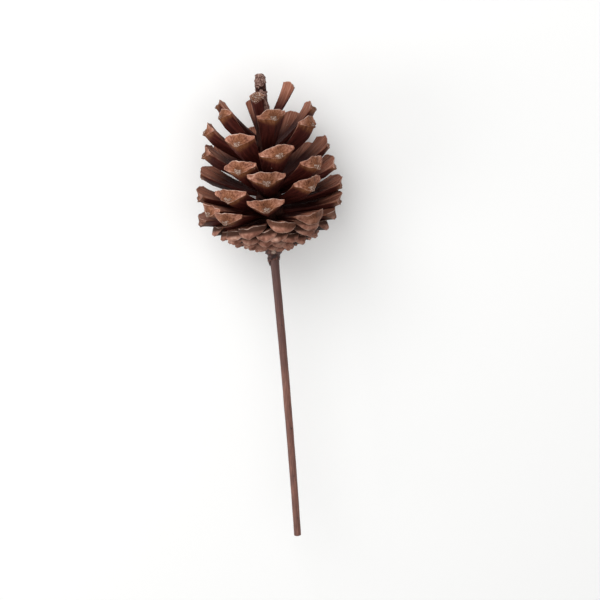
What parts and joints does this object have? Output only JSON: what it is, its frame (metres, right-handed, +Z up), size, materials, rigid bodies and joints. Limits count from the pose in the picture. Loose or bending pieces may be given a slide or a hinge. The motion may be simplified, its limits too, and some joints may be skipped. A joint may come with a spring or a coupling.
{
  "type": "pine cone pick",
  "caption": "Open brown pine cone glued on a slim brown wooden stick, a pick for floral and seasonal decoration, lying on its side.",
  "frame": {"origin": "on the surface, under the middle of the bounding box of the lying pick", "axes": "+Y from the stick's cut end towards the cone's apex, +Z up, out of the cone's best side"},
  "size_m": [0.0614, 0.1984, 0.0585],
  "materials": {
    "cone_wood": "satin, woody scales",
    "stained_stick": "matte brown stain",
    "stained_glue": "hot-melt glue, stained brown"
  },
  "bodies": {
    "root": {"pine_cone": "cone_wood", "stem_stick": "stained_stick", "glue_collar": "stained_glue"}
  },
  "joints": []
}
